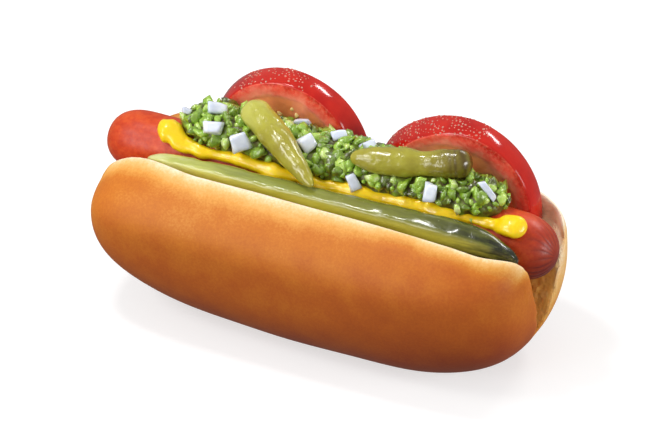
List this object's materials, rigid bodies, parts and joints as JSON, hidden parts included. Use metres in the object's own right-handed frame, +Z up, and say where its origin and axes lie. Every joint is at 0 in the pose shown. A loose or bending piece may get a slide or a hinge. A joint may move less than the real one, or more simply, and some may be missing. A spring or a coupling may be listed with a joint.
{
  "type": "hot dog",
  "caption": "Dressed hot dog: a frankfurter in a top-split bun with mustard, a pickle spear, relish and onion, tomato slices and pickled peppers.",
  "frame": {"origin": "middle of the bounding box's bottom, on the table under the bun", "axes": "+X along the bun, towards the end where the mustard stops; +Y from the half with the pickle to the half with the tomato; +Z up"},
  "size_m": [0.1512, 0.072, 0.0685],
  "materials": {
    "bun_crust": "satin",
    "frankfurter": "gloss",
    "mustard": "gloss",
    "pickle": "gloss",
    "tomato": "gloss",
    "pepper": "gloss",
    "relish": "gloss",
    "onion": "satin"
  },
  "bodies": {
    "root": {"bun": "bun_crust", "sausage": "frankfurter", "pickle_spear": "pickle", "tomato_left": "tomato", "tomato_right": "tomato", "pepper_left": "pepper", "pepper_right": "pepper", "relish": "relish"}
  },
  "joints": []
}
